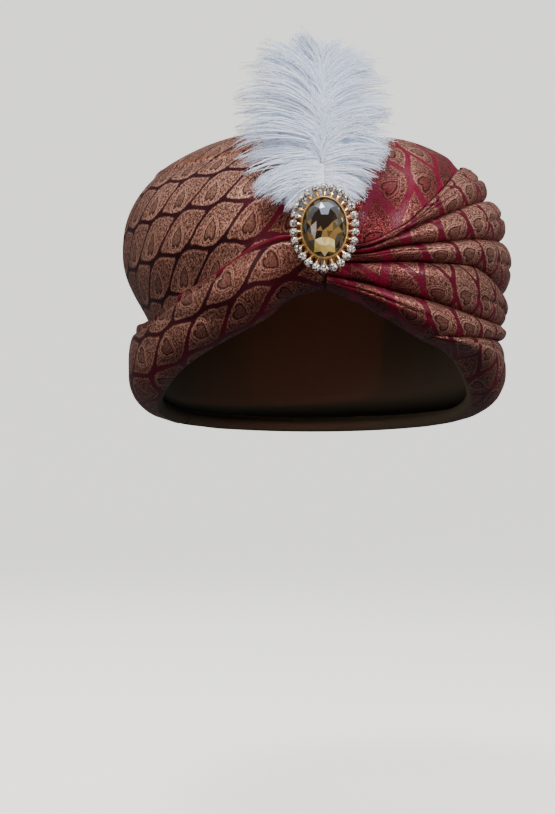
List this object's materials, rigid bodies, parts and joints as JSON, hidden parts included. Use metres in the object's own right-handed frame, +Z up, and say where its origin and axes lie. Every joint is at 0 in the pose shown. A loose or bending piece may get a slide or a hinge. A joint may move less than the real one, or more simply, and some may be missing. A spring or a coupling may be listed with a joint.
{
  "type": "tied turban with a plumed brooch",
  "caption": "Ready-tied turban of figured brocade: smooth crown, wide wrap over one side, pleated folds over the other, oval stone brooch and a soft upright plume.",
  "frame": {"origin": "top of the head hollow, on the inside of the crown, where the wearer's head touches it", "axes": "+Z up, -Y to the front where the brooch is, +X to the viewer's right"},
  "size_m": [0.2504, 0.2805, 0.2436],
  "materials": {
    "brocade": "figured silk brocade, dull gold motifs on a deep crimson ground, soft satin sheen",
    "gold": "polished gold-tone cast metal",
    "amber_glass": "faceted amber glass, foil behind it",
    "clear_glass": "faceted clear glass",
    "plume_white": "soft white feather barbs, matt"
  },
  "bodies": {
    "root": {"crown": "brocade", "left_wrap": "brocade", "right_fold_1": "brocade", "right_fold_2": "brocade", "right_fold_3": "brocade", "right_fold_4": "brocade", "right_fold_5": "brocade", "right_roll": "brocade", "brooch_setting": "gold", "brooch_pin": "gold", "centre_stone": "amber_glass", "halo_stone_01": "clear_glass", "halo_stone_02": "clear_glass", "halo_stone_03": "clear_glass", "halo_stone_04": "clear_glass", "halo_stone_05": "clear_glass", "halo_stone_06": "clear_glass", "halo_stone_07": "clear_glass", "halo_stone_08": "clear_glass", "halo_stone_09": "clear_glass", "halo_stone_10": "clear_glass", "halo_stone_11": "clear_glass", "halo_stone_12": "clear_glass", "halo_stone_13": "clear_glass", "halo_stone_14": "clear_glass", "halo_stone_15": "clear_glass", "halo_stone_16": "clear_glass", "halo_stone_17": "clear_glass", "halo_stone_18": "clear_glass", "halo_stone_19": "clear_glass", "halo_stone_20": "clear_glass", "halo_stone_21": "clear_glass", "halo_stone_22": "clear_glass", "halo_stone_23": "clear_glass", "halo_stone_24": "clear_glass", "halo_stone_25": "clear_glass", "halo_stone_26": "clear_glass", "plume": "plume_white"}
  },
  "joints": []
}
